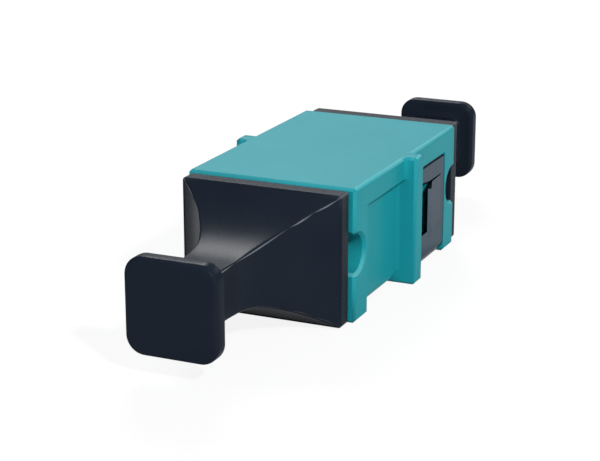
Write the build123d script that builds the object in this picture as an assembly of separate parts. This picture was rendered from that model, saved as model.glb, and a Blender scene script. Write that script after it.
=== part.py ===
from build123d import *
import os

# Sizes in millimetres. Y runs along the two ports, X across them and Z up.
# The origin lies under the middle of the body, on the plane of its feet.
body_width = 12.8
body_height = 9.7
body_length = 20.4
body_edge = 0.22

# The flange stops the body in its panel. It is flush with roof and feet.
flange_reach = 0.9
flange_thickness = 1.5
flange_root = 0.35

# Bands of full size at both ends, with the feet below them.
land_length = 2.25
lip_height = 1.65

# Relief in the front half, on both sides and below.
relief_depth = 0.6
relief_rise = 0.35
relief_corner = 0.65

# Thumb notches in the side walls, open to the end faces.
notch_radius = 1.38
notch_inset = 0.41
notch_level = 5.01

# Ports, and the web between them that holds the two ferrules in line.
# Cuts through a side wall start inside the port by the overcut.
port_width = 10.2
port_height = 7.0
port_corner = 0.4
overcut = 0.3
key_width = 3.2
key_depth = 0.7
web_thickness = 1.0
ferrule_width = 6.4
ferrule_height = 2.5
ferrule_clearance = 0.1
ferrule_corner = 0.3

# Spring clip of sheet steel, in a seat between a shoulder and the rear band.
clip_thickness = 0.25
clip_sink = 0.04
clip_lift = 0.05
clip_bend = 0.95
clip_gap = 0.05
clip_shoulder = 0.35
clip_hem = 0.45
clip_hem_bend = 0.3
window_bottom = 2.6
window_top = 6.55
window_front_border = 1.1
window_rear_border = 0.8
tab_slit = 0.1
tab_shear = 0.03
tab_flat = 2.1
tab_flat_angle = 2.5
tab_flare_angle = 18.0
tab_flare = 2.2
tab_bend = 0.6

# Pockets in the side walls behind the two tabs, so that the tabs can give way.
pocket_depth = 0.9
pocket_bottom = 2.0
pocket_top = 5.9
pocket_margin = 0.2

# Latch inserts, one in each port.
insert_clearance = 0.05
insert_plate = 1.0
arm_thickness = 0.7
arm_height = 3.0
arm_gap = 0.1
arm_end_gap = 0.3
hook_depth = 0.45
hook_ramp = 0.9
hook_land = 0.4
arm_root = 0.4

# Dust caps: plate, flared neck, square stem and grip head, moulded in one.
# The root is the low step on the head's inner face that the stem grows from.
cap_margin_side = 0.37
cap_margin_top = 0.12
cap_plate = 1.27
cap_plate_edge = 0.12
cap_plate_corner = 0.25
cap_seat = 0.28
cap_seat_width = 11.4
cap_seat_height = 8.4
cap_seat_corner = 0.6
cap_stem = 3.6
cap_stem_length = 12.0
cap_flare_length = 8.1
cap_rim_margin = 0.12
cap_ridge = 0.12
cap_head = 6.6
cap_head_thickness = 1.25
cap_head_corner = 1.3
cap_head_edge = 0.27
cap_root = 4.3
cap_root_corner = 0.8
cap_root_length = 0.3
cap_root_edge = 0.12
cap_collar_length = 2.7
cap_shank_length = 4.4
cap_clearance = 0.1
cap_hook_clearance = 0.15
cap_corner_extra = 0.1
cap_wall = 0.9
cap_core_depth = 3.4
cap_nose = 0.3

# Places that follow from the sizes above.
tiny = 0.01
flange_width = body_width + 2 * flange_reach
half_width = body_width / 2
half_length = body_length / 2
mid_height = body_height / 2
lip_level = body_height - lip_height
land_start = half_length - land_length
flange_face = flange_thickness / 2
clip_outer = half_width - clip_sink
clip_inner = clip_outer - clip_thickness
seat_start = flange_face + clip_shoulder
clip_start = seat_start + clip_gap
clip_end = land_start - clip_gap
window_start = clip_start + window_front_border
window_end = clip_end - window_rear_border
web_face = web_thickness / 2
arm_start = web_face + insert_plate
arm_end = half_length - cap_collar_length - arm_end_gap
arm_outer = port_width / 2 - arm_gap
arm_inner = arm_outer - arm_thickness
hook_tip = arm_inner - hook_depth
cap_plate_width = body_width - 2 * cap_margin_side
cap_plate_height = body_height - 2 * cap_margin_top
cap_plate_face = half_length + cap_seat
cap_neck_face = cap_plate_face + cap_plate
cap_head_face = cap_neck_face + cap_stem_length
seat_depth = clip_sink + clip_thickness
seat_rise = clip_lift + clip_thickness


def block(x0, x1, y0, y1, z0, z1):
    """A box between two corners."""
    place = Pos((x0 + x1) / 2, (y0 + y1) / 2, (z0 + z1) / 2)
    return place * Box(x1 - x0, y1 - y0, z1 - z0)


def bar(width, height, corner, y0, y1, level=mid_height):
    """A bar along Y with a rounded rectangle as its section."""
    section = Plane.XZ.offset(-y0) * RectangleRounded(width, height, corner)
    return Pos(0, 0, level) * extrude(section, -(y1 - y0))


def relief(y0, y1, depth, rise, corner):
    """What is cut from both sides and the underside between two stations."""
    reach = flange_width
    cut = block(-reach, reach, y0, y1, -reach, lip_level)
    core_half = half_width - depth
    core = block(-core_half, core_half, y0, y1, rise, lip_level)
    lower = core.edges().filter_by(Axis.Y).group_by(Axis.Z)[0]
    return cut - fillet(lower, corner)


def notch(side, end):
    """A thumb notch through one side wall, open to one end face."""
    centre = half_length - notch_inset
    outline = Pos(centre, notch_level) * Circle(notch_radius)
    outline += Pos(half_length, notch_level) * Rectangle(2 * notch_inset, 2 * notch_radius)
    cutter = Pos(port_width / 2 - overcut, 0, 0) * extrude(Plane.YZ * outline, half_width)
    if side < 0:
        cutter = mirror(cutter, about=Plane.YZ)
    if end < 0:
        cutter = mirror(cutter, about=Plane.XZ)
    return cutter


def is_front_root(edge):
    """True for the corners between body and flange on the front side.

    The rear ones stay sharp, so that the flange seats flat on its panel.
    """
    c = edge.center()
    return abs(abs(c.X) - half_width) < tiny and abs(c.Y + flange_face) < tiny


def is_outer(edge):
    """True for the convex outside edges, which the mould leaves broken."""
    c = edge.center()
    foot_or_roof = abs(c.Z) < tiny or abs(c.Z - body_height) < tiny
    end_face = abs(abs(c.Y) - half_length) < tiny
    flange_rim = abs(abs(c.X) - flange_width / 2) < tiny
    land = abs(abs(c.X) - half_width) < tiny and abs(c.Y) > land_start + tiny
    return foot_or_roof or end_face or flange_rim or land


def flange_round(side, y):
    """The small concave round where the relieved side meets the flange."""
    x = side * (half_width - relief_depth)
    far_x = x + side * flange_root
    far_y = y - flange_root
    low = relief_rise + relief_corner
    wedge = block(min(x, far_x), max(x, far_x), far_y, y, low, lip_level)
    round_out = Pos(far_x, far_y, (low + lip_level) / 2) * Cylinder(flange_root, lip_level - low)
    return wedge - round_out


def make_housing():
    """The body with its flange, feet, two ports, keyways, notches and reliefs."""
    body = Pos(0, 0, mid_height) * Box(body_width, body_length, body_height)
    body += Pos(0, 0, mid_height) * Box(flange_width, flange_thickness, body_height)
    body = fillet([e for e in body.edges().filter_by(Axis.Z) if is_front_root(e)], flange_root)
    body -= relief(-land_start, -flange_face, relief_depth, relief_rise, relief_corner)
    body -= relief(seat_start, land_start, seat_depth, seat_rise, clip_bend)
    for end in (-1, 1):
        for side in (-1, 1):
            body -= notch(side, end)
    body = chamfer([e for e in body.edges() if is_outer(e)], body_edge)
    for side in (-1, 1):
        body += flange_round(side, -flange_face)
        body -= pocket(side)
        body -= hem_slot(side)
    for end in (-1, 1):
        body -= port(end)
    body -= ferrule_window(-web_thickness, web_thickness)
    return body


def pocket(side):
    """The pocket in a side wall behind one spring tab."""
    cut = block(
        half_width - pocket_depth,
        half_width,
        window_start + pocket_margin,
        window_end - pocket_margin,
        pocket_bottom,
        pocket_top,
    )
    return cut if side > 0 else mirror(cut, about=Plane.YZ)


def hem_slot(side):
    """The slot under the lip that takes the turned-in edge of the clip."""
    cut = block(
        clip_inner - clip_hem - clip_gap,
        half_width,
        seat_start,
        land_start,
        lip_level - clip_thickness - 3 * clip_gap,
        lip_level,
    )
    return cut if side > 0 else mirror(cut, about=Plane.YZ)


def port(end):
    """One port with its keyway, from the end face to the web."""
    beyond = half_length + web_thickness
    cut = bar(port_width, port_height, port_corner, web_face, beyond)
    key_top = mid_height + port_height / 2 + key_depth
    cut += block(-key_width / 2, key_width / 2, web_face, beyond, mid_height, key_top)
    return cut if end > 0 else mirror(cut, about=Plane.XZ)


def ferrule_window(y0, y1):
    """The window that holds the two ferrules against each other."""
    width = ferrule_width + 2 * ferrule_clearance
    height = ferrule_height + 2 * ferrule_clearance
    return bar(width, height, ferrule_corner, y0, y1)


def make_insert():
    """A latch insert for the rear port: a base plate and two hooked arms."""
    width = port_width - 2 * insert_clearance
    height = port_height - 2 * insert_clearance
    insert = bar(width, height, port_corner, web_face, arm_start)
    for side in (-1, 1):
        insert += arm(side)
    inner_roots = [e for e in insert.edges().filter_by(Axis.Z) if is_arm_root(e)]
    insert = fillet(inner_roots, arm_root)
    return insert - ferrule_window(0, arm_end)


def is_arm_root(edge):
    """True for the inside corner between an arm and the base plate."""
    c = edge.center()
    return abs(abs(c.X) - arm_inner) < tiny and abs(c.Y - arm_start) < tiny


def arm(side):
    """One sprung arm; its hook has a ramp for entry and a square catch."""
    catch = arm_end - hook_ramp - hook_land
    outline = Polyline(
        (arm_outer, web_face),
        (arm_outer, arm_end),
        (arm_inner, arm_end),
        (hook_tip, arm_end - hook_ramp),
        (hook_tip, catch),
        (arm_inner, catch),
        (arm_inner, web_face),
        close=True,
    )
    solid = extrude(Pos(0, 0, mid_height - arm_height / 2) * make_face(outline), arm_height)
    return solid if side > 0 else mirror(solid, about=Plane.YZ)


def make_clip():
    """The spring clip: one strip folded to a U, with a lanced tab in each leg."""
    clip = folded(clip_outer, clip_lift, clip_bend, lip_level - clip_gap)
    upper = [e for e in clip.edges().filter_by(Axis.Y) if e.center().Z > lip_level - clip_thickness]
    clip = fillet(upper, clip_hem_bend)
    inside_top = lip_level - clip_gap - clip_thickness
    clip -= folded(clip_inner, seat_rise, clip_bend - clip_thickness, inside_top)
    hem_tip = clip_inner - clip_hem
    clip -= block(-hem_tip, hem_tip, clip_start, clip_end, mid_height, lip_level)
    for side in (-1, 1):
        near, far = sorted((side * (clip_inner - clip_gap), side * half_width))
        clip -= block(near, far, window_start, window_end, window_bottom, window_top)
        clip += tab(side)
    return clip


def folded(half, bottom, bend, top):
    """A block whose two lower edges are rounded as the strip is folded."""
    solid = block(-half, half, clip_start, clip_end, bottom, top)
    lower = solid.edges().filter_by(Axis.Y).group_by(Axis.Z)[0]
    return fillet(lower, bend)


def tab(side):
    """A spring tab, hinged at its rear edge and flared outwards at its free end."""
    middle = clip_inner + clip_thickness / 2
    flat = Vector(0, -tab_flat).rotate(Axis.Z, tab_flat_angle)
    flare = Vector(0, -tab_flare).rotate(Axis.Z, tab_flare_angle)
    hinge = Vector(middle, window_end)
    knee = hinge + flat
    tip = knee + flare
    rear = Vector(middle, window_end + window_rear_border / 2)
    path = FilletPolyline(rear, hinge, knee, tip, radius=tab_bend)
    strip = trace(path, clip_thickness)
    bottom = window_bottom + tab_shear
    solid = extrude(Pos(0, 0, bottom) * strip, window_top - tab_slit - bottom)
    return solid if side > 0 else mirror(solid, about=Plane.YZ)


def make_cap():
    """A dust cap for the rear port, as one moulding."""
    plate = bar(cap_plate_width, cap_plate_height, cap_plate_corner, cap_plate_face, cap_neck_face)
    plate = chamfer(plate.faces().sort_by(Axis.Y)[0].edges(), cap_plate_edge)
    plate = chamfer(plate.faces().sort_by(Axis.Y)[-1].edges(), cap_plate_edge)
    head = bar(cap_head, cap_head, cap_head_corner, cap_head_face, cap_head_face + cap_head_thickness)
    head = chamfer(head.faces().sort_by(Axis.Y)[0].edges(), cap_head_edge)
    head = fillet(head.faces().sort_by(Axis.Y)[-1].edges(), cap_head_edge)
    root_start = cap_head_face - cap_root_length
    root = bar(cap_root, cap_root, cap_root_corner, root_start, cap_head_face + cap_head_edge)
    root = chamfer(root.faces().sort_by(Axis.Y)[0].edges(), cap_root_edge)
    return plate + head + root + neck() + plug()


def neck():
    """The square stem and its flare: two concave profiles that cross."""
    plan = neck_profile(cap_plate_width / 2 - cap_rim_margin)
    side = neck_profile(cap_plate_height / 2 - cap_rim_margin)
    across = extrude(plan, cap_plate_height / 2, both=True)
    upright = extrude(Rot(0, 90, 0) * side, cap_plate_width / 2, both=True)
    solid = Pos(0, 0, mid_height) * (across & upright)
    ridges = [e for e in solid.edges() if is_ridge(e)]
    return fillet(ridges, cap_ridge)


def neck_profile(rim):
    """Half the neck's width is the rim's at the plate and the stem's at the head."""
    stem = cap_stem / 2
    foot = cap_neck_face - cap_plate_edge
    bend = cap_neck_face + cap_flare_length
    top = cap_head_face + cap_head_edge
    right = TangentArc((stem, bend), (rim, cap_neck_face), tangent=(0, -1))
    left = mirror(right, about=Plane.YZ)
    sides = Polyline((rim, cap_neck_face), (rim, foot), (-rim, foot), (-rim, cap_neck_face))
    shaft = Polyline((stem, bend), (stem, top), (-stem, top), (-stem, bend))
    return make_face(right + sides + left + shaft)


def is_ridge(edge):
    """True for the four long edges where the neck's faces meet."""
    box = edge.bounding_box()
    return box.size.Y > cap_flare_length / 2


def plug():
    """What goes into the port: seat, close collar and a cored shank."""
    height = port_height - 2 * cap_clearance
    collar_width = port_width - 2 * cap_clearance
    shank_width = 2 * (hook_tip - cap_hook_clearance)
    corner = port_corner + cap_corner_extra
    shank_end = half_length - cap_shank_length
    seat = bar(cap_seat_width, cap_seat_height, cap_seat_corner, half_length, cap_plate_face + cap_plate_edge)
    collar = bar(collar_width, height, corner, half_length - cap_collar_length, half_length)
    shank = bar(shank_width, height, corner, shank_end, half_length)
    collar = chamfer(collar.faces().sort_by(Axis.Y)[0].edges(), cap_nose)
    shank = chamfer(shank.faces().sort_by(Axis.Y)[0].edges(), cap_nose)
    core_width = (shank_width - 3 * cap_wall) / 2
    core_height = height - 2 * cap_wall
    core = Box(core_width, 2 * cap_core_depth, core_height)
    offset = (core_width + cap_wall) / 2
    plug = seat + collar + shank
    for side in (-1, 1):
        plug -= Pos(side * offset, shank_end, mid_height) * core
    return plug


insert = make_insert()
cap = make_cap()
pieces = {
    "housing": make_housing(),
    "front_latch_insert": Rot(0, 0, 180) * insert,
    "rear_latch_insert": insert,
    "retaining_clip": make_clip(),
    "front_dust_cap": Rot(0, 0, 180) * cap,
    "rear_dust_cap": cap,
}
os.makedirs("parts", exist_ok=True)
for name, piece in pieces.items():
    export_step(piece, "parts/" + name + ".step")
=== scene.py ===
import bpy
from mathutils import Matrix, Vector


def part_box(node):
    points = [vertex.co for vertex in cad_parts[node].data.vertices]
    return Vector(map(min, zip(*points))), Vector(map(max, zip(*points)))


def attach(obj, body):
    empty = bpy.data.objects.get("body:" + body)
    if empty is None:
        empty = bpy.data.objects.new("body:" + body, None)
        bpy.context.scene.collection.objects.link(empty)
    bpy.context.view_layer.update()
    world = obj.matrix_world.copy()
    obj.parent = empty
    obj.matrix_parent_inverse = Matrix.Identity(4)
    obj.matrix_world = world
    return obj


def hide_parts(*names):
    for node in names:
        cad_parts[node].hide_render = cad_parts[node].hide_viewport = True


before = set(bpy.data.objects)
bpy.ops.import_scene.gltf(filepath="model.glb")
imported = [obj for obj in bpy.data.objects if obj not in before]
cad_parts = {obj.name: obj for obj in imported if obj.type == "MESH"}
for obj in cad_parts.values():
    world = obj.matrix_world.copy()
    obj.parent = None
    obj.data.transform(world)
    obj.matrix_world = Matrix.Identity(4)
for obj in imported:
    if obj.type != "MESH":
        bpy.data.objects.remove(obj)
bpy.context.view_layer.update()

import math

import bmesh
import bpy
import numpy as np
from mathutils import Matrix

mm = 0.001


def fromHex(code):
    # sRGB hex to linear: each channel is divided by 12.92 near black, else raised to 2.4
    srgb = [int(code[i:i + 2], 16) / 255 for i in (1, 3, 5)]
    return tuple(c / 12.92 if c <= 0.04045 else ((c + 0.055) / 1.055) ** 2.4 for c in srgb) + (1.0,)


def addNode(tree, kind, settings=(), links=()):
    # settings: attribute or input and its value; links: input and the socket that feeds it.
    # An input goes by its name, or by its number where several share a name.
    node = tree.nodes.new(kind)
    for name, value in dict(settings).items():
        if isinstance(name, int) or name in node.inputs:
            node.inputs[name].default_value = value
        else:
            setattr(node, name, value)
    for name, socket in dict(links).items():
        tree.links.new(socket, node.inputs[name])
    return node


def emptyMaterial(name):
    material = bpy.data.materials.new(name)
    material.use_nodes = True
    material.node_tree.nodes.clear()
    return material, material.node_tree


def addObject(name, data):
    thing = bpy.data.objects.new(name, data)
    bpy.context.scene.collection.objects.link(thing)
    return thing


# PBT, injection moulded against a finely spark-eroded tool: an even, satin colour
# with a soft sheen at low angles and a grain that is only just felt.
mouldedPbt = {
    "colour": "#1B929B",
    "flowColour": "#1E969F",   # the melt leaves broad, barely lighter clouds
    "flowSize": 6.0,           # mm
    "grainSize": 0.09,         # mm, drawn coarse; the real spark grain is about 0.03
    "grainHeight": 0.0012,     # mm
    "roughness": (0.3, 0.38),
    "specular": 0.032,
    "highlightColour": "#86D2D6",   # painted highlight on the body's chamfers and notch rims
}

# Glass-filled PBT of the latch inserts: darker and drier than the body.
glassFilledPbt = {
    "colour": "#17181B",
    "flowColour": "#1D1E21",
    "flowSize": 3.0,
    "grainSize": 0.12,
    "grainHeight": 0.002,
    "roughness": (0.42, 0.55),
    "specular": 0.3,
}

# Black LDPE, soft and waxy: near black face on, grey where the light grazes it.
blackLdpe = {
    "colour": "#1B222C",
    "flowColour": "#1E252F",
    "flowSize": 5.0,
    "grainSize": 0.1,
    "grainHeight": 0.0012,
    "roughness": (0.25, 0.32),
    "specular": 0.02,
    "highlightColour": "#7A7E84",   # painted highlight along the ridges and on the plate's corners
}

# Cold-rolled spring strip, hardened and left dull: grey with fine lines along the roll.
rolledSpringStrip = {
    "colour": "#5E6B76",
    "darkColour": "#586571",
    "lineSpacing": 0.05,       # mm between roll lines
    "lineLength": 2.5,         # mm
    "lineHeight": 0.0008,      # mm
    "roughness": (0.13, 0.18),
    "edgeTint": "#BCBCBC",     # its reflections stay below white at low angles too
}

# the part of each noise that is spread over the whole range of a colour or roughness
noiseRange = {"clouds": (0.35, 0.7), "lines": (0.35, 0.65), "roughness": (0.3, 0.7)}


def mouldedPlastic(name, values):
    # broad clouds of flow colour, a fine grain for bump and roughness, and a painted highlight
    # mixed in by the mesh's highlight attribute
    material, tree = emptyMaterial(name)
    place = addNode(tree, "ShaderNodeTexCoord").outputs["Object"]
    flow = addNode(
        tree, "ShaderNodeTexNoise",
        {"Scale": 1 / (values["flowSize"] * mm), "Detail": 3.0, "Roughness": 0.5},
        {"Vector": place})
    grain = addNode(
        tree, "ShaderNodeTexNoise",
        {"Scale": 1 / (values["grainSize"] * mm), "Detail": 4.0, "Roughness": 0.65},
        {"Vector": place})
    clouds = addNode(tree, "ShaderNodeValToRGB", {}, {"Fac": flow.outputs["Fac"]})
    for i, colour in enumerate((values["colour"], values["flowColour"])):
        clouds.color_ramp.elements[i].position = noiseRange["clouds"][i]
        clouds.color_ramp.elements[i].color = fromHex(colour)
    base = clouds.outputs["Color"]
    # painted highlight: the highlight colour, mixed in where the mesh's attribute is high
    if "highlightColour" in values:
        highlightAttribute = addNode(tree, "ShaderNodeAttribute", {"attribute_name": "paintedHighlight"})
        blend = addNode(
            tree, "ShaderNodeMix", {"data_type": "RGBA", 7: fromHex(values["highlightColour"])},
            {0: highlightAttribute.outputs["Fac"], 6: base})
        base = blend.outputs[2]
    start, stop = noiseRange["roughness"]
    low, high = values["roughness"]
    rough = addNode(
        tree, "ShaderNodeMapRange",
        {"From Min": start, "From Max": stop, "To Min": low, "To Max": high},
        {"Value": grain.outputs["Fac"]})
    bump = addNode(
        tree, "ShaderNodeBump",
        {"Strength": 1.0, "Distance": values["grainHeight"] * mm},
        {"Height": grain.outputs["Fac"]})
    shader = addNode(
        tree, "ShaderNodeBsdfPrincipled",
        {"Specular IOR Level": values["specular"], "IOR": 1.5},
        {"Base Color": base, "Roughness": rough.outputs["Result"],
         "Normal": bump.outputs["Normal"]})
    addNode(tree, "ShaderNodeOutputMaterial", {}, {"Surface": shader.outputs["BSDF"]})
    return material


def rolledStrip(name, values):
    # long noise cells along Z, the way the strip was rolled before it was folded
    material, tree = emptyMaterial(name)
    place = addNode(tree, "ShaderNodeTexCoord").outputs["Object"]
    across = 1 / (values["lineSpacing"] * mm)
    along = 1 / (values["lineLength"] * mm)
    drawn = addNode(
        tree, "ShaderNodeMapping", {"Scale": (across, across, along)}, {"Vector": place})
    lines = addNode(
        tree, "ShaderNodeTexNoise", {"Scale": 1.0, "Detail": 5.0, "Roughness": 0.6},
        {"Vector": drawn.outputs["Vector"]})
    tone = addNode(tree, "ShaderNodeValToRGB", {}, {"Fac": lines.outputs["Fac"]})
    for i, colour in enumerate((values["darkColour"], values["colour"])):
        tone.color_ramp.elements[i].position = noiseRange["lines"][i]
        tone.color_ramp.elements[i].color = fromHex(colour)
    start, stop = noiseRange["roughness"]
    low, high = values["roughness"]
    rough = addNode(
        tree, "ShaderNodeMapRange",
        {"From Min": start, "From Max": stop, "To Min": low, "To Max": high},
        {"Value": lines.outputs["Fac"]})
    bump = addNode(
        tree, "ShaderNodeBump",
        {"Strength": 1.0, "Distance": values["lineHeight"] * mm},
        {"Height": lines.outputs["Fac"]})
    shader = addNode(
        tree, "ShaderNodeBsdfPrincipled",
        {"Metallic": 1.0, "Specular Tint": fromHex(values["edgeTint"])},
        {"Base Color": tone.outputs["Color"], "Roughness": rough.outputs["Result"],
         "Normal": bump.outputs["Normal"]})
    addNode(tree, "ShaderNodeOutputMaterial", {}, {"Surface": shader.outputs["BSDF"]})
    return material


pbtAqua = mouldedPlastic("moulded PBT, aqua", mouldedPbt)
pbtBlack = mouldedPlastic("glass-filled PBT, black", glassFilledPbt)
ldpeBlack = mouldedPlastic("moulded LDPE, black", blackLdpe)
springSteel = rolledStrip("rolled spring strip", rolledSpringStrip)
print("materials made")


# Rounding of the edges, in mm and degrees. The bevel shrinks where a face is narrower.
edges = {
    "housing": 0.05, "clip": 0.02, "latch": 0.03,
    "merge": 0.0005, "sharpFrom": 35, "bevelFrom": 38, "segments": 2,
}


def keepFacesFlat(piece, keepSharp):
    # normals weighted by face area, so that an edge's bend stays in its own narrow face
    weighted = piece.modifiers.new("flat faces stay flat", "WEIGHTED_NORMAL")
    weighted.mode = "FACE_AREA"
    weighted.keep_sharp = keepSharp


def softened(nodeName, pieceName, body, material, edgeWidth):
    # a merged copy of a node: its edges are rounded and its large faces kept flat
    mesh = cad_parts[nodeName].data.copy()
    mesh.name = pieceName
    if mesh.has_custom_normals:
        mesh.attributes.remove(mesh.attributes["custom_normal"])
    work = bmesh.new()
    work.from_mesh(mesh)
    bmesh.ops.remove_doubles(work, verts=work.verts, dist=edges["merge"] * mm)
    work.to_mesh(mesh)
    work.free()
    mesh.materials.clear()
    mesh.materials.append(material)
    mesh.shade_smooth()
    mesh.set_sharp_from_angle(angle=math.radians(edges["sharpFrom"]))
    piece = addObject(pieceName, mesh)
    rounding = piece.modifiers.new("edges", "BEVEL")
    rounding.width = edgeWidth * mm
    rounding.segments = edges["segments"]
    rounding.limit_method = "ANGLE"
    rounding.angle_limit = math.radians(edges["bevelFrom"])
    rounding.use_clamp_overlap = True
    rounding.miter_outer = "MITER_ARC"
    keepFacesFlat(piece, True)
    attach(piece, body)
    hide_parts(nodeName)
    return piece


# Painted highlights on the body's chamfers and notch rims. Distances in mm. Each box is half a
# width and half a length: the body, then the flange.
edgeHighlights = {
    "boxes": ((6.4, 10.2), (7.3, 0.75)), "height": 9.7, "edge": 0.22,
    "roofShare": 0.55, "endRoofShare": 0.15, "sideShare": 0.04,
    "notchAt": 9.79, "notchLevel": 5.01, "notchRadius": 1.38, "notchShare": 0.3,
    "rimReach": 1.5,           # rims keep their sharp marks this many edge widths out
    "nearness": 1.1,           # a chamfer's two depths add up to less than this many edge widths
    "squareFrom": 0.95,        # a normal this close to an axis belongs to a main face
    "slack": 0.01,
}


def readField(items, field, width, kind=np.float32):
    # one field of all of a mesh's items as an array, one row for each item
    values = np.empty(len(items) * width, dtype=kind)
    items.foreach_get(field, values)
    return values.reshape(-1, width) if width > 1 else values


def fromNotchAxis(places):
    # distance from the axis of the nearest thumb notch, which runs across the body
    v = edgeHighlights
    return np.hypot(np.abs(places[:, 1]) - v["notchAt"], places[:, 2] - v["notchLevel"])


def smoothChamfers(mesh):
    # chamfers shade into the faces beside them, except on the rims of the notches
    v = edgeHighlights
    ends = readField(mesh.edges, "vertices", 2, np.int32)
    middles = readField(mesh.vertices, "co", 3)[ends].mean(axis=1) / mm
    marks = mesh.attributes["sharp_edge"].data
    sharp = readField(marks, "value", 1, bool)
    sharp &= fromNotchAxis(middles) < v["notchRadius"] + v["rimReach"] * v["edge"]
    marks.foreach_set("value", sharp)


def paintEdgeHighlights(mesh):
    # Paints highlights on the chamfers, as a value on each face corner.
    # A chamfer lies where two of a box's planes are near:
    # depth behind one plane + depth behind the other < nearness x edge.
    # Its painted highlight is palest where it meets the roof, less so along the two ends, faint on
    # the sides.
    v = edgeHighlights
    normals = readField(mesh.polygons, "normal", 3)
    counts = readField(mesh.polygons, "loop_total", 1, np.int32)
    corners = readField(mesh.loops, "vertex_index", 1, np.int32)
    places = np.abs(readField(mesh.polygons, "center", 3)) / mm
    highlighted = np.zeros(len(counts), dtype=bool)
    atEnd = np.zeros(len(counts), dtype=bool)
    for halfWidth, halfLength in v["boxes"]:
        depth = np.array((halfWidth, halfLength, v["height"])) - places
        least, second = np.sort(depth, axis=1)[:, :2].T
        close = (least > -v["slack"]) & (least + second < v["nearness"] * v["edge"])
        highlighted |= close
        atEnd |= close & (depth[:, 1] < v["edge"])
    slanted = np.abs(normals).max(axis=1) < v["squareFrom"]
    fromAxis = fromNotchAxis(places)
    rim = slanted & (fromAxis > v["notchRadius"]) & (fromAxis < v["notchRadius"] + v["edge"])
    level = readField(mesh.vertices, "co", 3)[corners, 2] / mm
    onRoof = level > v["height"] - v["slack"]
    roofShare = np.where(np.repeat(atEnd, counts), v["endRoofShare"], v["roofShare"])
    paintedHighlight = np.repeat(highlighted & slanted, counts) * np.where(onRoof, roofShare, v["sideShare"])
    # a notch rim's lower part gets a painted highlight: notchShare x (notch level - level) / notch
    # radius, from 0 to 1
    under = np.clip((v["notchLevel"] - level) / v["notchRadius"], 0, 1)
    paintedHighlight = np.where(np.repeat(rim, counts), v["notchShare"] * under, paintedHighlight)
    mesh.attributes.new("paintedHighlight", "FLOAT", "CORNER").data.foreach_set(
        "value", paintedHighlight.astype(np.float32))


housing = softened(
    "housing", "housingBody", "coupler", pbtAqua, edges["housing"])
smoothChamfers(housing.data)
# painted highlights on the body's chamfers and notch rims
paintEdgeHighlights(housing.data)
softened("retaining_clip", "springClip", "coupler", springSteel, edges["clip"])
softened("front_latch_insert", "frontLatch", "coupler", pbtBlack, edges["latch"])
softened("rear_latch_insert", "rearLatch", "coupler", pbtBlack, edges["latch"])
print("body, clip and latches made")


# Distances in mm. "out" is counted from the body's end face, outwards.
dustCap = {
    "shankWidth": 7.4, "portWidth": 10.0, "portHeight": 6.8, "portCorner": 0.5,
    "shankLength": 4.4, "collarLength": 2.7, "nose": 0.3, "noseCorner": 0.4,
    "coreWall": 0.9, "coreDepth": 3.4, "coreCorner": 0.05, "coreFloorRound": 0.12,
    "coreLip": 0.05,
    "seatWidth": 11.4, "seatHeight": 8.4, "seatCorner": 0.6, "seat": 0.28, "seatEdge": 0.04,
    "plateWidth": 12.06, "plateHeight": 9.46, "plateCorner": 0.25,
    "plate": 1.27, "plateEdge": 0.12,
    "rimMargin": 0.12, "stem": 3.6, "stemLength": 12.0, "flareLength": 8.1,
    "ridgeLeast": 0.09, "ridgeMost": 0.24,
    "trimEnds": (0.0, 1.2, 2.65, 7.7, 12.0),   # where one stroke of the knife meets the next
    "root": 4.3, "rootCorner": 0.8, "rootLength": 0.3, "rootEdge": 0.12,
    "head": 6.6, "headCorner": 1.3, "headThickness": 1.25, "headEdge": 0.27,
    "cornerPoints": 15, "sidePoints": 7, "neckRows": 96, "edgeRows": 6,
    # rows this near an edge hold it crisp
    "hair": 0.01, "tight": 0.02, "loose": 0.03,
    # rows that hold a face flat: how much smaller the section and its corner are
    "rootHold": (0.1, 0.05), "headHold": (0.15, 0.1), "seatHold": 0.1,
    "middle": (0.01, 0.01, 0.004),             # the tiny ring in the middle of a face
}

# Painted highlights: pale lines along the ridges, following the trimmed strokes, and pale spots on
# the plate's corners. Angles in degrees round each of the four corners.
capHighlights = {
    "angles": (28, 62, 28, 62), "width": 9,
    "shares": (1.0, 1.0, 0.25, 0.25),          # the lower ridges get the least painted highlight
    "fade": 0.8,                               # how fast a stroke's painted highlight pales towards its middle
    "plateShare": 0.45, "plateAngles": (45, 45, 45, 45), "plateWidth": 30,
}


def roundedRing(halfWidth, halfHeight, corner):
    # a rectangle with quarter-circle corners, anticlockwise, always the same number of points:
    # each corner is its centre plus corner times (cos, sin), each side is divided evenly
    n = dustCap["cornerPoints"]
    m = dustCap["sidePoints"]
    turn = np.linspace(0, math.pi / 2, n)
    quarters = []
    for k, (sx, sz) in enumerate(((1, 1), (-1, 1), (-1, -1), (1, -1))):
        angle = turn + k * math.pi / 2
        x = sx * (halfWidth - corner) + corner * np.cos(angle)
        z = sz * (halfHeight - corner) + corner * np.sin(angle)
        quarters.append(np.stack([x, z], 1))
    points = []
    for k in range(4):
        start = quarters[k][-1]
        stop = quarters[(k + 1) % 4][0]
        along = (np.arange(1, m + 1) / (m + 1))[:, None]
        points += [quarters[k], start + (stop - start) * along]
    return np.concatenate(points)


def concave(rim, stem, length, along):
    # half width of the flare: an arc through the rim that runs tangent into the stem
    radius = ((rim - stem) ** 2 + length ** 2) / (2 * (rim - stem))
    left = np.clip(length - along, 0, None)
    return stem + radius - np.sqrt(radius ** 2 - left ** 2)


def trimDepth(along):
    # the parting flash is trimmed off the ridges in strokes, each deepest in its middle:
    # sin(pi * share of the stroke), and 0 off the neck
    ends = np.array(dustCap["trimEnds"])
    stroke = np.clip(np.searchsorted(ends, along, side="right") - 1, 0, len(ends) - 2)
    share = np.clip((along - ends[stroke]) / (ends[stroke + 1] - ends[stroke]), 0, 1)
    return np.sin(math.pi * share)


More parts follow.
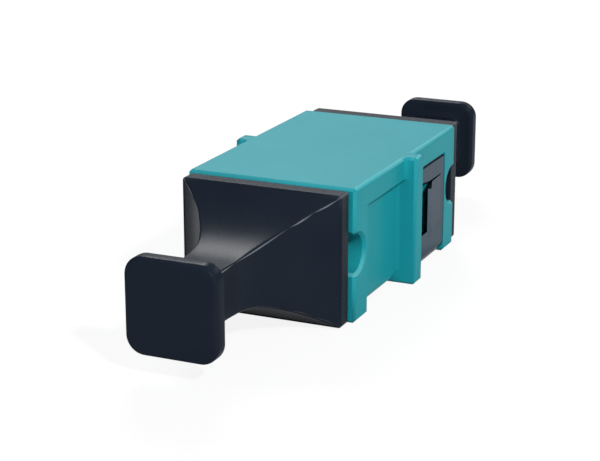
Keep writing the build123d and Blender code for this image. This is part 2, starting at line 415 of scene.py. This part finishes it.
def highlightRing(angles, width):
    # one section's painted highlight: none on the sides, and on each corner a bell round one angle,
    # share x e to the power of minus (degrees from the angle / width) squared
    turn = np.linspace(0, 90, dustCap["cornerPoints"])
    bells = [share * np.exp(-((turn - at) / width) ** 2)
             for at, share in zip(angles, capHighlights["shares"])]
    side = np.zeros(dustCap["sidePoints"])
    return np.concatenate([part for bell in bells for part in (bell, side)])


def paintCapHighlights(rows):
    # a painted highlight along each ridge, depth of the stroke to the power of fade x the ring's
    # bell,
    # and painted glints: the plate's share x its own bell on the plate's corners
    v = capHighlights
    seat = dustCap["seat"]
    face = seat + dustCap["plate"]
    out = np.array([row[0] for row in rows])
    onPlate = (out > seat) & (out <= face)
    ridges = np.outer(trimDepth(out - face) ** v["fade"], highlightRing(v["angles"], v["width"]))
    plate = np.outer(onPlate * v["plateShare"], highlightRing(v["plateAngles"], v["plateWidth"]))
    return ridges + plate


def edgeRound(halfWidth, halfHeight, corner, radius, out, rising):
    # rows of a rounded edge: a quarter circle from the flat face to the side, or back
    turn = np.linspace(0, math.pi / 2, dustCap["edgeRows"])
    inward = radius * (1 - np.sin(turn))
    ahead = radius * (1 - np.cos(turn))
    rows = [(out + a, halfWidth - i, halfHeight - i, max(corner - i, dustCap["tight"]))
            for i, a in zip(inward, ahead)]
    if rising:
        return rows
    return [(2 * out - o, w, h, c) for o, w, h, c in rows[::-1]]


def capRows():
    # every section of the cap in turn, from the cored shank out to the middle of the head:
    # (out, half width, half height, corner)
    v = dustCap
    hair, tight, loose = v["hair"], v["tight"], v["loose"]
    half = {k: v[k] / 2 for k in ("shankWidth", "portWidth", "portHeight", "seatWidth",
                                  "seatHeight", "plateWidth", "plateHeight", "stem", "root",
                                  "head")}
    sw, pw, ph, pC = half["shankWidth"], half["portWidth"], half["portHeight"], v["portCorner"]
    cw, ch, cC = sw - v["coreWall"], ph - v["coreWall"], v["coreCorner"]
    end = -v["shankLength"]
    floor = end + v["coreDepth"]
    nose, lip, floorRound = v["nose"], v["coreLip"], v["coreFloorRound"]
    rows = [
        (floor, *v["middle"]),
        (floor, cw - floorRound, ch - floorRound, cC),
        (floor - floorRound / 3, cw - floorRound / 3, ch - floorRound / 3, cC),
        (floor - floorRound, cw, ch, cC),
        (end + lip, cw, ch, cC),
        (end, cw + lip, ch + lip, cC + hair),
        (end, sw - nose - tight, ph - nose - tight, v["noseCorner"]),
        (end + tight, sw - nose, ph - nose, v["noseCorner"]),
        (end + nose, sw, ph, pC),
        (-v["collarLength"], sw, ph, pC),
        (-v["collarLength"] + hair, pw - nose, ph, pC),
        (-v["collarLength"] + nose, pw, ph, pC),
        (-tight, pw, ph, pC),
        (0.0, pw + tight, ph + tight, pC),
    ]
    tw, th, tC, tE = half["seatWidth"], half["seatHeight"], v["seatCorner"], v["seatEdge"]
    rows += [
        (0.0, tw - tE, th - tE, tC - tE),
        (tE, tw, th, tC),
        (v["seat"], tw, th, tC),
        (v["seat"], tw + loose, th + loose, tC - v["seatHold"]),
    ]
    lw, lh, lC, lE = half["plateWidth"], half["plateHeight"], v["plateCorner"], v["plateEdge"]
    face = v["seat"] + v["plate"]
    rows += edgeRound(lw, lh, lC, lE, v["seat"], True)
    rows += edgeRound(lw, lh, lC, lE, face, False)
    headFace = face + v["stemLength"]
    rootFace = headFace - v["rootLength"]
    # the plate's edge already ends on the flare's rim, so the neck starts one row further out
    along = np.linspace(0, v["stemLength"] - v["rootLength"], v["neckRows"])[1:]
    wide = concave(lw - v["rimMargin"], half["stem"], v["flareLength"], along)
    high = concave(lh - v["rimMargin"], half["stem"], v["flareLength"], along)
    ridge = v["ridgeLeast"] + (v["ridgeMost"] - v["ridgeLeast"]) * trimDepth(along)
    rows += list(zip(face + along, wide, high, ridge))
    st, r, rC, rE = half["stem"], half["root"], v["rootCorner"], v["rootEdge"]
    hold, cornerHold = v["rootHold"]
    rows += [(rootFace, st + loose, st + loose, ridge[-1]),
             (rootFace, r - rE - hold, r - rE - hold, rC - rE - cornerHold)]
    rows += edgeRound(r, r, rC, rE, rootFace, True)
    rows += [(headFace - tight, r, r, rC), (headFace, r + loose, r + loose, rC)]
    h, hC, hE = half["head"], v["headCorner"], v["headEdge"]
    top = headFace + v["headThickness"]
    hold, cornerHold = v["headHold"]
    inner = (h - hE - hold, h - hE - hold, hC - hE - cornerHold)
    rows += [(headFace, *inner)]
    rows += edgeRound(h, h, hC, hE, headFace, True)
    rows += edgeRound(h, h, hC, hE, top, False)
    rows += [(top, *inner), (top, *v["middle"])]
    return rows


def sweptShell(rows, bodyEnd, level, side):
    # point (i, j) is ring j of section i, set out along Y from the body's end face
    rings = np.stack([roundedRing(w, h, c) for _, w, h, c in rows])
    out = np.array([r[0] for r in rows])
    count, around = rings.shape[:2]
    points = np.empty((count, around, 3))
    points[..., 0] = rings[..., 0] * side
    points[..., 1] = (side * (bodyEnd + out))[:, None]
    points[..., 2] = rings[..., 1] + level
    i, j = np.meshgrid(np.arange(count - 1), np.arange(around), indexing="ij")
    k = (j + 1) % around
    near, far = i * around, (i + 1) * around
    faces = np.stack([near + j, near + k, far + k, far + j], -1)
    ends = [list(range(around)), list(range((count - 1) * around, count * around))[::-1]]
    return points.reshape(-1, 3), faces.reshape(-1, 4)[:, ::-1].tolist() + ends


def coreWall(bodyEnd, level, side):
    # the wall between the two cores: a plain block inside the pocket, from its mouth to its floor
    v = dustCap
    a = v["coreWall"] / 2
    b = v["portHeight"] / 2 - v["coreWall"]
    mouth = bodyEnd - v["shankLength"]
    points = [(x, side * y, level + z) for y in (mouth, mouth + v["coreDepth"])
              for x, z in ((-a, -b), (a, -b), (a, b), (-a, b))]
    quads = ((0, 1, 2, 3), (7, 6, 5, 4), (0, 4, 5, 1), (1, 5, 6, 2), (2, 6, 7, 3), (3, 7, 4, 0))
    return np.array(points), np.array(quads)


def makeCap(nodeName, pieceName, body, side):
    low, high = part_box(nodeName)
    level = (low[2] + high[2]) / 2 / mm
    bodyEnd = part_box("housing")[1][1] / mm
    rows = capRows()
    points, faces = sweptShell(rows, bodyEnd, level, side)
    wallPoints, quads = coreWall(bodyEnd, level, side)
    faces += (quads + len(points)).tolist()
    points = np.concatenate([points, wallPoints])
    # painted highlights on the ridges and the plate's corners, none on the core wall
    paintedHighlight = np.concatenate([paintCapHighlights(rows).ravel(), np.zeros(len(wallPoints))])
    mesh = bpy.data.meshes.new(pieceName)
    mesh.from_pydata((points * mm).tolist(), [], faces)
    mesh.attributes.new("paintedHighlight", "FLOAT", "POINT").data.foreach_set(
        "value", paintedHighlight.astype(np.float32))
    work = bmesh.new()
    work.from_mesh(mesh)
    bmesh.ops.recalc_face_normals(work, faces=work.faces)
    work.to_mesh(mesh)
    work.free()
    mesh.materials.append(ldpeBlack)
    mesh.shade_smooth()
    cap = addObject(pieceName, mesh)
    keepFacesFlat(cap, False)
    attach(cap, body)
    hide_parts(nodeName)


makeCap("front_dust_cap", "frontDustCap", "front_cap", -1)
makeCap("rear_dust_cap", "rearDustCap", "rear_cap", 1)
print("dust caps made")


studio = {
    "floorSize": 1600.0,        # mm
    "floorColour": "#B4B4B4",   # what the floor throws back onto the object
    "seenColour": "#F4F4F4",    # the same floor to the camera and in reflections
    "shadowShare": 0.14,        # how much of the floor's seen tone comes from the light on it
    "mirroredShare": 0.75,      # the same share in reflections
    "whiteStrength": 1.02,      # just over 1, so that the bare floor stays white
    "sky": "#F0F4FF", "skyStrength": 0.12,
    "lampDistance": 420.0,      # mm from the middle of the body
    "middle": (0, 0, 5),        # mm
}


def makeFloor():
    # a plain square. The share of plain white in it is 1 - shadowShare to the camera and
    # 1 - mirroredShare in reflections; the rest of it is painted and takes light and shadow.
    half = studio["floorSize"] / 2 * mm
    mesh = bpy.data.meshes.new("floor")
    mesh.from_pydata([(-half, -half, 0), (half, -half, 0), (half, half, 0), (-half, half, 0)],
                     [], [(0, 1, 2, 3)])
    material, tree = emptyMaterial("painted studio floor")
    ray = addNode(tree, "ShaderNodeLightPath").outputs
    seen = addNode(tree, "ShaderNodeMath", {"operation": "MAXIMUM"},
                   {0: ray["Is Camera Ray"], 1: ray["Is Transmission Ray"]})
    seenAny = addNode(tree, "ShaderNodeMath", {"operation": "MAXIMUM"},
                      {0: seen.outputs[0], 1: ray["Is Glossy Ray"]})
    direct = addNode(tree, "ShaderNodeMath",
                     {"operation": "MULTIPLY", 1: 1 - studio["shadowShare"]},
                     {0: seen.outputs[0]})
    mirrored = addNode(tree, "ShaderNodeMath",
                       {"operation": "MULTIPLY", 1: 1 - studio["mirroredShare"]},
                       {0: ray["Is Glossy Ray"]})
    share = addNode(tree, "ShaderNodeMath", {"operation": "MAXIMUM"},
                    {0: direct.outputs[0], 1: mirrored.outputs[0]})
    tone = addNode(tree, "ShaderNodeMix",
                   {"data_type": "RGBA", 6: fromHex(studio["floorColour"]),
                    7: fromHex(studio["seenColour"])},
                   {0: seenAny.outputs[0]})
    paint = addNode(tree, "ShaderNodeBsdfDiffuse", {}, {"Color": tone.outputs[2]})
    glow = addNode(tree, "ShaderNodeEmission",
                   {"Color": (1, 1, 1, 1), "Strength": studio["whiteStrength"]})
    mixed = addNode(tree, "ShaderNodeMixShader", {},
                    {0: share.outputs[0], 1: paint.outputs[0], 2: glow.outputs[0]})
    addNode(tree, "ShaderNodeOutputMaterial", {}, {"Surface": mixed.outputs[0]})
    mesh.materials.append(material)
    addObject("floor", mesh)


# azimuth and elevation in degrees as seen from the object, size in mm;
# level is what the lamp alone gives a white card that faces it, so its energy is
# level x (pi x distance) squared
lamps = {
    "key": {"azimuth": 51, "elevation": 38, "size": (30, 30), "level": 0.73},
    "overhead": {"azimuth": -50, "elevation": 62, "size": (140, 140), "level": 0.05},
    "ridgeStrip": {"azimuth": 100, "elevation": 25, "size": (400, 50), "level": 0.1},
    "front": {"azimuth": -5, "elevation": 18, "size": (260, 160), "level": 0.21,
              "colour": "#DCEBFF"},
    "fill": {"azimuth": 25, "elevation": 18, "size": (90, 90), "level": 0.07},
    "backRight": {"azimuth": 160, "elevation": 24, "size": (160, 60), "level": 0.08},
    "backStrip": {"azimuth": 204, "elevation": 15, "size": (420, 110), "level": 0.08},
    "backHigh": {"azimuth": 208, "elevation": 38, "size": (130, 130), "level": 0.62},
}


def direction(azimuth, elevation):
    # azimuth 0 is the front (-Y) and 90 the right (+X)
    a, e = math.radians(azimuth), math.radians(elevation)
    return np.array([math.sin(a) * math.cos(e), -math.cos(a) * math.cos(e), math.sin(e)])


def aim(thing, place, target):
    # turns -Z to the target and keeps Y up
    back = (place - target) / np.linalg.norm(place - target)
    right = np.cross([0, 0, 1], back)
    right /= np.linalg.norm(right)
    up = np.cross(back, right)
    turn = np.eye(4)
    turn[:3, 0], turn[:3, 1], turn[:3, 2], turn[:3, 3] = right, up, back, place
    thing.matrix_world = Matrix(turn.tolist())


def makeLamps():
    centre = np.array(studio["middle"]) * mm
    distance = studio["lampDistance"] * mm
    for name, v in lamps.items():
        lamp = bpy.data.lights.new(name, "AREA")
        lamp.shape = "RECTANGLE"
        lamp.size, lamp.size_y = v["size"][0] * mm, v["size"][1] * mm
        lamp.energy = v["level"] * (math.pi * distance) ** 2
        lamp.color = fromHex(v.get("colour", "#FFFFFF"))[:3]
        place = centre + direction(v["azimuth"], v["elevation"]) * distance
        aim(addObject(name, lamp), place, centre)


def makeSky():
    world = bpy.data.worlds.new("studio")
    world.use_nodes = True
    world.node_tree.nodes.clear()
    sky = addNode(world.node_tree, "ShaderNodeBackground",
                  {"Color": fromHex(studio["sky"]), "Strength": studio["skyStrength"]})
    addNode(world.node_tree, "ShaderNodeOutputWorld", {}, {"Surface": sky.outputs[0]})
    bpy.context.scene.world = world


# the photograph's own viewpoint, solved from the outline: degrees and mm, the range in metres
viewpoint = {
    "azimuth": 24.091, "elevation": 17.053, "distance": 129.489,
    "target": (-1.806, -1.091, 3.218), "lens": 103.417, "sensor": 36.0,
    "depthRange": (0.005, 10.0),
}


def makeCamera():
    v = viewpoint
    target = np.array(v["target"]) * mm
    lens = bpy.data.cameras.new("camera")
    lens.lens = v["lens"]
    lens.sensor_width = v["sensor"]
    lens.clip_start, lens.clip_end = v["depthRange"]
    camera = addObject("camera", lens)
    aim(camera, target + direction(v["azimuth"], v["elevation"]) * v["distance"] * mm, target)
    bpy.context.scene.camera = camera


makeFloor()
makeLamps()
makeSky()
makeCamera()
bpy.context.scene.view_settings.view_transform = "Standard"
print("floor, light and camera made")
